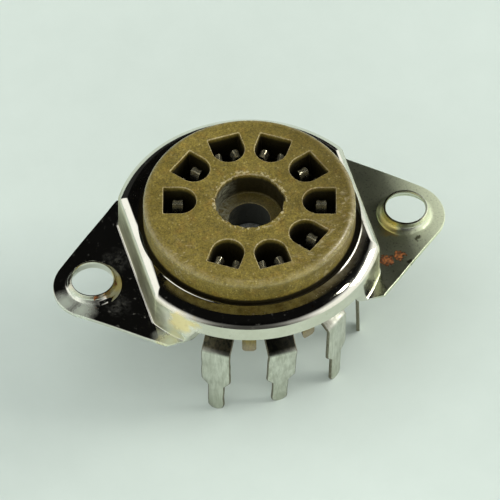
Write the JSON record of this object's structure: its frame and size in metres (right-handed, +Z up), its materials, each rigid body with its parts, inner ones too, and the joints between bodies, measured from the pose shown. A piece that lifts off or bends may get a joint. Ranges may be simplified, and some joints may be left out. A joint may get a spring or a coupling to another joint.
{
  "type": "vacuum tube socket",
  "caption": "Round moulded socket for a miniature all-glass valve, held in a bent metal saddle with screw ears, with sprung contacts in D-shaped holes and solder tails below.",
  "frame": {"origin": "middle of the ground area that the tips of the solder tails stand on", "axes": "+Z up through the face of the insulator, +X along the line through the screw ears"},
  "size_m": [0.0348, 0.0232, 0.0176],
  "materials": {
    "insulator": "brown mica-filled phenolic, matte, speckled",
    "retainer": "brown phenolic, matte",
    "saddle": "nickel-plated sheet steel, bright, with a few rust specks",
    "contact": "tinned bronze strip, dull silver",
    "leaf": "tinned bronze spring strip, bright at the tips"
  },
  "bodies": {
    "socket": {"insulator_body": "insulator", "bottom_retainer": "retainer", "mounting_saddle": "saddle", "contact_1": "contact", "contact_2": "contact", "contact_3": "contact", "contact_4": "contact", "contact_5": "contact", "contact_6": "contact", "contact_7": "contact", "contact_8": "contact", "contact_9": "contact"},
    "leaf_1a": {"contact_1_leaf_a": "leaf"},
    "leaf_1b": {"contact_1_leaf_b": "leaf"},
    "leaf_2a": {"contact_2_leaf_a": "leaf"},
    "leaf_2b": {"contact_2_leaf_b": "leaf"},
    "leaf_3a": {"contact_3_leaf_a": "leaf"},
    "leaf_3b": {"contact_3_leaf_b": "leaf"},
    "leaf_4a": {"contact_4_leaf_a": "leaf"},
    "leaf_4b": {"contact_4_leaf_b": "leaf"},
    "leaf_5a": {"contact_5_leaf_a": "leaf"},
    "leaf_5b": {"contact_5_leaf_b": "leaf"},
    "leaf_6a": {"contact_6_leaf_a": "leaf"},
    "leaf_6b": {"contact_6_leaf_b": "leaf"},
    "leaf_7a": {"contact_7_leaf_a": "leaf"},
    "leaf_7b": {"contact_7_leaf_b": "leaf"},
    "leaf_8a": {"contact_8_leaf_a": "leaf"},
    "leaf_8b": {"contact_8_leaf_b": "leaf"},
    "leaf_9a": {"contact_9_leaf_a": "leaf"},
    "leaf_9b": {"contact_9_leaf_b": "leaf"}
  },
  "joints": [
    {"name": "leaf_1a_flex", "type": "hinge", "parent": "socket", "child": "leaf_1a", "pos_m": [-0.00253, -0.00572, 0.0111], "axis": [0.565, 0.8251, 0], "range_deg": [0, 2.5], "stiffness_Nm_per_rad": 0.001},
    {"name": "leaf_1b_flex", "type": "hinge", "parent": "socket", "child": "leaf_1b", "pos_m": [-0.00442, -0.00443, 0.0111], "axis": [-0.565, -0.8251, 0], "range_deg": [0, 2.5], "stiffness_Nm_per_rad": 0.001},
    {"name": "leaf_2a_flex", "type": "hinge", "parent": "socket", "child": "leaf_2a", "pos_m": [0.00131, -0.00612, 0.0111], "axis": [-0.0279, 0.9996, 0], "range_deg": [0, 2.5], "stiffness_Nm_per_rad": 0.001},
    {"name": "leaf_2b_flex", "type": "hinge", "parent": "socket", "child": "leaf_2b", "pos_m": [-0.00097, -0.00618, 0.0111], "axis": [0.0279, -0.9996, 0], "range_deg": [0, 2.5], "stiffness_Nm_per_rad": 0.001},
    {"name": "leaf_3a_flex", "type": "hinge", "parent": "socket", "child": "leaf_3a", "pos_m": [0.00466, -0.00418, 0.0111], "axis": [-0.6101, 0.7923, 0], "range_deg": [0, 2.5], "stiffness_Nm_per_rad": 0.001},
    {"name": "leaf_3b_flex", "type": "hinge", "parent": "socket", "child": "leaf_3b", "pos_m": [0.00285, -0.00557, 0.0111], "axis": [0.6101, -0.7923, 0], "range_deg": [0, 2.5], "stiffness_Nm_per_rad": 0.001},
    {"name": "leaf_4a_flex", "type": "hinge", "parent": "socket", "child": "leaf_4a", "pos_m": [0.00622, -0.00064, 0.0111], "axis": [-0.9593, 0.2823, 0], "range_deg": [0, 2.5], "stiffness_Nm_per_rad": 0.001},
    {"name": "leaf_4b_flex", "type": "hinge", "parent": "socket", "child": "leaf_4b", "pos_m": [0.00558, -0.00283, 0.0111], "axis": [0.9593, -0.2823, 0], "range_deg": [0, 2.5], "stiffness_Nm_per_rad": 0.001},
    {"name": "leaf_5a_flex", "type": "hinge", "parent": "socket", "child": "leaf_5a", "pos_m": [0.00541, 0.00314, 0.0111], "axis": [-0.9421, -0.3355, 0], "range_deg": [0, 2.5], "stiffness_Nm_per_rad": 0.001},
    {"name": "leaf_5b_flex", "type": "hinge", "parent": "socket", "child": "leaf_5b", "pos_m": [0.00618, 0.00099, 0.0111], "axis": [0.9421, 0.3355, 0], "range_deg": [0, 2.5], "stiffness_Nm_per_rad": 0.001},
    {"name": "leaf_6a_flex", "type": "hinge", "parent": "socket", "child": "leaf_6a", "pos_m": [0.00253, 0.00572, 0.0111], "axis": [-0.565, -0.8251, 0], "range_deg": [0, 2.5], "stiffness_Nm_per_rad": 0.001},
    {"name": "leaf_6b_flex", "type": "hinge", "parent": "socket", "child": "leaf_6b", "pos_m": [0.00442, 0.00443, 0.0111], "axis": [0.565, 0.8251, 0], "range_deg": [0, 2.5], "stiffness_Nm_per_rad": 0.001},
    {"name": "leaf_7a_flex", "type": "hinge", "parent": "socket", "child": "leaf_7a", "pos_m": [-0.00131, 0.00612, 0.0111], "axis": [0.0279, -0.9996, 0], "range_deg": [0, 2.5], "stiffness_Nm_per_rad": 0.001},
    {"name": "leaf_7b_flex", "type": "hinge", "parent": "socket", "child": "leaf_7b", "pos_m": [0.00097, 0.00618, 0.0111], "axis": [-0.0279, 0.9996, 0], "range_deg": [0, 2.5], "stiffness_Nm_per_rad": 0.001},
    {"name": "leaf_8a_flex", "type": "hinge", "parent": "socket", "child": "leaf_8a", "pos_m": [-0.00466, 0.00418, 0.0111], "axis": [0.6101, -0.7923, 0], "range_deg": [0, 2.5], "stiffness_Nm_per_rad": 0.001},
    {"name": "leaf_8b_flex", "type": "hinge", "parent": "socket", "child": "leaf_8b", "pos_m": [-0.00285, 0.00557, 0.0111], "axis": [-0.6101, 0.7923, 0], "range_deg": [0, 2.5], "stiffness_Nm_per_rad": 0.001},
    {"name": "leaf_9a_flex", "type": "hinge", "parent": "socket", "child": "leaf_9a", "pos_m": [-0.00622, 0.00064, 0.0111], "axis": [0.9593, -0.2823, 0], "range_deg": [0, 2.5], "stiffness_Nm_per_rad": 0.001},
    {"name": "leaf_9b_flex", "type": "hinge", "parent": "socket", "child": "leaf_9b", "pos_m": [-0.00558, 0.00283, 0.0111], "axis": [-0.9593, 0.2823, 0], "range_deg": [0, 2.5], "stiffness_Nm_per_rad": 0.001}
  ],
  "couplings": [
    {"joint": "leaf_1b_flex", "follows": "leaf_1a_flex", "ratio": 1},
    {"joint": "leaf_2b_flex", "follows": "leaf_2a_flex", "ratio": 1},
    {"joint": "leaf_3b_flex", "follows": "leaf_3a_flex", "ratio": 1},
    {"joint": "leaf_4b_flex", "follows": "leaf_4a_flex", "ratio": 1},
    {"joint": "leaf_5b_flex", "follows": "leaf_5a_flex", "ratio": 1},
    {"joint": "leaf_6b_flex", "follows": "leaf_6a_flex", "ratio": 1},
    {"joint": "leaf_7b_flex", "follows": "leaf_7a_flex", "ratio": 1},
    {"joint": "leaf_8b_flex", "follows": "leaf_8a_flex", "ratio": 1},
    {"joint": "leaf_9b_flex", "follows": "leaf_9a_flex", "ratio": 1}
  ]
}
